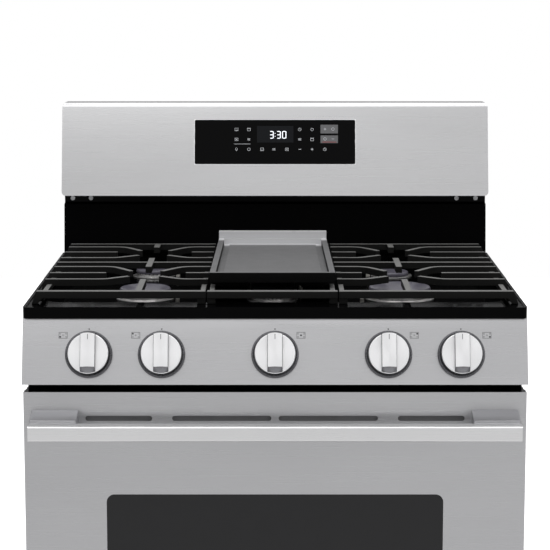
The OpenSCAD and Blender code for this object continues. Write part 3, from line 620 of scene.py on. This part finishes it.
def grip_ring(half, z, lower_cut=0.0, count=12):
    """Outline of the grip bar: straight sides, ends that follow the knob's edge, a shortened lower end."""
    r = FACE_R - 0.4
    a = math.asin(half / r)
    # from -1 to 1 across an end
    steps = [2 * i / count - 1 for i in range(count + 1)]
    upper = [(-r * math.sin(a * t), r * math.cos(a * t), z) for t in steps]
    lower = [(r * math.sin(a * t),
              lower_cut * (1 + 0.35 * math.cos(math.pi / 2 * t)) - r * math.cos(a * t), z) for t in steps]
    return upper + lower


def build_knob(n):
    place, body = knob_place(n), f"knob_{n}"
    skirt = piece(f"knob_{n}_skirt", place,
                  [circle(BORE_R, KNOB_BACK), circle(KNOB_R - 0.6, KNOB_BACK), circle(KNOB_R, KNOB_BACK + 1),
                   circle(KNOB_R, 14.5), circle(KNOB_R - 0.5, SKIRT_TOP), circle(BORE_R, SKIRT_TOP)],
                  ["skirt_chrome"], body, bored=True)
    piece(f"knob_{n}_face", place,
          [circle(BORE_R, SKIRT_TOP), circle(FACE_R, SKIRT_TOP), circle(FACE_R, FACE_Z - 0.8),
           circle(FACE_R - 0.8, FACE_Z), circle(BORE_R, FACE_Z)], ["knob_face"], body, bored=True)
    # The grip bar's side walls take the dark skirt chrome as painted shade; its top face takes the bright knob
    # face
    piece(f"knob_{n}_grip", place,
          [grip_ring(GRIP_HALF, FACE_Z - 0.5), grip_ring(GRIP_HALF - 0.4, GRIP_TOP - 0.8, 6.0),
           grip_ring(GRIP_HALF - 0.9, GRIP_TOP, 6.8)], ["skirt_chrome", "knob_face"], body, top=1)
    flat_marks(f"knob_{n}_line", place, [rect(-0.5, 20, 0.5, 28)], "key_grey", body,
               GRIP_TOP, GRIP_TOP + 0.05)
    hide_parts(f"knob_{n}")


# ---- printing on the control panel ----

# All in millimetres from a knob's axis or from the middle of the control glass.
# Burner order in each picture: left front, left rear, middle, right front, right rear
BURNER_DOTS = [(-4.4, -2.4), (-4.4, 2.4), (0, 0), (4.4, -2.4), (4.4, 2.4)]
KNOB_BURNER = {1: 0, 2: 1, 3: 2, 4: 4, 5: 3}
PICTURE_AT = (39, 29)
PICTURE_HALF = (6.5, 4.75)
OFF_MARK = [(-1.3, 39.2), (0, 36.8), (1.3, 39.2)]


def build_panel_marks():
    """A small plan of the burners beside each knob, and a pointer above it."""
    half_w, half_h = PICTURE_HALF
    for n in KNOBS:
        side = -1 if n < 3 else 1
        u, v = side * PICTURE_AT[0], PICTURE_AT[1]
        shapes = box_line(u - half_w, v - half_h, u + half_w, v + half_h, 0.5)
        for i, (du, dv) in enumerate(BURNER_DOTS):
            spot = (u + du, v + dv)
            shapes += [disc(*spot, 1.35)] if i == KNOB_BURNER[n] else ring_line(*spot, 0.95, 0.35, 12)
        shapes.append(OFF_MARK)
        flat_marks(f"panel_print_{n}", knob_place(n), shapes, "print_dark", "root")


# ---- display and keys on the control glass ----

SEGMENTS = {
    "3": ("top", "upper_right", "middle", "lower_right", "bottom"),
    "0": ("top", "upper_right", "lower_right", "bottom", "lower_left", "upper_left"),
}
DIGIT_W, DIGIT_H, DIGIT_STROKE = 7.6, 13.6, 1.5
CLOCK = [("3", -10), ("3", 2.6), ("0", 12.6)]
CLOCK_LOW = 6
COLUMNS = [-68.5, -46.5, -23, -2, 21, 44, 66, 88.5]
ROWS = [22.4, 4.6, -13.2]


def digit(char, u, v):
    """One seven-segment digit, with its lower left corner at (u, v)."""
    w, h, t = DIGIT_W, DIGIT_H, DIGIT_STROKE
    m = v + h / 2
    places = {
        "top": rect(u + t, v + h - t, u + w - t, v + h), "bottom": rect(u + t, v, u + w - t, v + t),
        "middle": rect(u + t, m - t / 2, u + w - t, m + t / 2),
        "upper_left": rect(u, m, u + t, v + h - t / 2), "lower_left": rect(u, v + t / 2, u + t, m),
        "upper_right": rect(u + w - t, m, u + w, v + h - t / 2),
        "lower_right": rect(u + w - t, v + t / 2, u + w, m),
    }
    return [places[name] for name in SEGMENTS[char]]


def front_face(node):
    """Frame in the middle of a node's largest forward face."""
    mesh = node.data
    biggest = max((p for p in mesh.polygons if p.normal.y < -0.5), key=lambda p: p.area)
    normal = biggest.normal.copy()
    level = max(v.co.dot(normal) for v in mesh.vertices)
    on_face = [v.co for v in mesh.vertices if v.co.dot(normal) > level - 0.01 * MM]
    low = Vector(map(min, zip(*on_face)))
    high = Vector(map(max, zip(*on_face)))
    return facing((low + high) / 2, normal), (high.x - low.x) / MM, (high - low).yz.length / MM


def icon(kind, u, v):
    """Small generic pictures. Any other kind gives three lines."""
    box = box_line(u - 3, v - 2.6, u + 3, v + 2.6, 0.5)
    if kind == "ring":
        return ring_line(u, v, 2.4, 0.6)
    if kind == "oven":
        return box + [rect(u - 2, v - 1.6, u + 2, v - 1.1)]
    if kind == "oven_top":
        return box + [rect(u - 2, v + 1.1, u + 2, v + 1.6)]
    if kind == "fan":
        return box + stroke([(u - 1.5, v - 1.2), (u + 1.5, v + 1.2)], 0.5) \
            + stroke([(u - 1.5, v + 1.2), (u + 1.5, v - 1.2)], 0.5)
    if kind == "minus":
        return [rect(u - 2.2, v - 0.4, u + 2.2, v + 0.4)]
    if kind == "plus":
        return [rect(u - 2.2, v - 0.4, u + 2.2, v + 0.4), rect(u - 0.4, v - 2.2, u + 0.4, v + 2.2)]
    if kind == "clock":
        return ring_line(u, v, 2.6, 0.5) + stroke([(u, v + 1.7), (u, v), (u + 1.3, v)], 0.45)
    if kind == "bulb":
        return ring_line(u, v + 0.6, 1.9, 0.5) + [rect(u - 0.9, v - 2.8, u + 0.9, v - 2.1)]
    return [rect(u - 2.6, v - 0.3 + 1.4 * k, u + 2.6, v + 0.3 + 1.4 * k) for k in (-1, 0, 1)]


# Picture, column and row
KEYS = [
    ("oven", 0, 0), ("oven_top", 1, 0), ("fan", 0, 1), ("lines", 1, 1),
    ("bulb", 0, 2), ("ring", 1, 2), ("oven", 2, 2), ("lines", 3, 2), ("fan", 4, 2),
    ("minus", 5, 2), ("plus", 6, 2), ("clock", 7, 2),
    ("clock", 5, 0), ("ring", 6, 0), ("lines", 5, 1), ("oven_top", 6, 1),
]


def build_display():
    """Clock window, digits, icons, two lighter key pads and the bright line round the glass."""
    place, w, h = front_face(nodes["control_glass"])
    flat_marks("display_window", place, [rect(-32, -1, 32.7, 28.6)], "display_tint", "root", 0.01, 0.05)
    shapes = [part for char, u in CLOCK for part in digit(char, u, CLOCK_LOW)]
    shapes += [disc(0.1, 10.2, 0.8, 10), disc(0.1, 15.4, 0.8, 10)]
    flat_marks("display_digits", place, shapes, "digit_light", "root", 0.05, 0.09)
    shapes = [rect(-73, -3.9, -44, -3.4)]
    for kind, column, row in KEYS:
        shapes += icon(kind, COLUMNS[column], ROWS[row])
    flat_marks("display_icons", place, shapes, "print_light", "root", 0.02, 0.06)
    flat_marks("key_pads", place, [rect(81, 15.3, 112, 30.9), rect(81, -2, 112, 11.7)],
               "key_grey", "root", 0.02, 0.10)
    shapes = (icon("plus", 89, 23.1) + icon("ring", 103, 23.1)
              + icon("ring", 89, 5.4) + icon("minus", 103, 5.4))
    flat_marks("key_pad_prints", place, shapes, "print_light", "root", 0.10, 0.14)
    flat_marks("key_accent", place, [rect(84, -0.8, 109, 0.4)], "accent_red", "root", 0.10, 0.14)
    flat_marks("glass_rim", place, box_line(-w / 2 - 1.5, -h / 2 - 1.5, w / 2 + 1.5, h / 2 + 1.5, 1.1),
               "knob_satin", "root", -0.65, -0.3)


# ---- burners and door details ----

PORT_SPACING = 6.5 * MM
PORT_INSET = 2.9 * MM
PORT_DROP = 2.6 * MM
PORT_SIZE = (0.6 * MM, 2.2 * MM, 4.0 * MM)
SCREEN_SIZE = Vector((580, 1.2, 14)) * MM
SCREEN_SET_BACK = 7 * MM
SCREEN_Z = 0.7585


def add_box(bm, place, size):
    bmesh.ops.create_cube(bm, size=1.0, matrix=place @ Matrix.Diagonal((*size, 1)))


def build_gas_port_shade():
    """Black boxes round each burner head, just under its cap, as painted shade for the holes of the gas ports."""
    bm = bmesh.new()
    for low, high in islands(nodes["burner_caps"]):
        centre = (low + high) / 2
        r = (high.x - low.x) / 2 - PORT_INSET
        straight = (high.y - low.y) / 2 - (high.x - low.x) / 2
        outline = []
        count = max(20, int(TAU * r / PORT_SPACING))
        for i in range(count):
            a = TAU * (i + 0.5) / count
            shift = straight if math.sin(a) > 0 else -straight
            outline.append((Vector((r * math.cos(a), r * math.sin(a) + shift, 0)), a))
        for i in range(int(2 * straight / PORT_SPACING)):
            y = -straight + (i + 0.5) * PORT_SPACING
            outline += [(Vector((r, y, 0)), 0.0), (Vector((-r, y, 0)), math.pi)]
        for offset, a in outline:
            spot = Matrix.Translation((centre.x, centre.y, low.z - PORT_DROP)) @ Matrix.Translation(offset)
            add_box(bm, spot @ Matrix.Rotation(a, 4, "Z"), PORT_SIZE)
    # Painted shade: black filler where the port holes are
    finish_piece("gas_port_shade", Matrix.Identity(4), bm, ["black_plastic"], "root", bevel=0)


def build_door_details():
    """Pale strip that shows through the vent slots of the door."""
    door_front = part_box("door_skin")[0][1]
    bm = bmesh.new()
    add_box(bm, Matrix.Translation((0, door_front + SCREEN_SET_BACK, SCREEN_Z)), SCREEN_SIZE)
    finish_piece("vent_screen", Matrix.Identity(4), bm, ["slit_light"], "door", bevel=0)


dress_cad_nodes()
for n in KNOBS:
    build_knob(n)
build_panel_marks()
build_display()
build_gas_port_shade()
build_door_details()
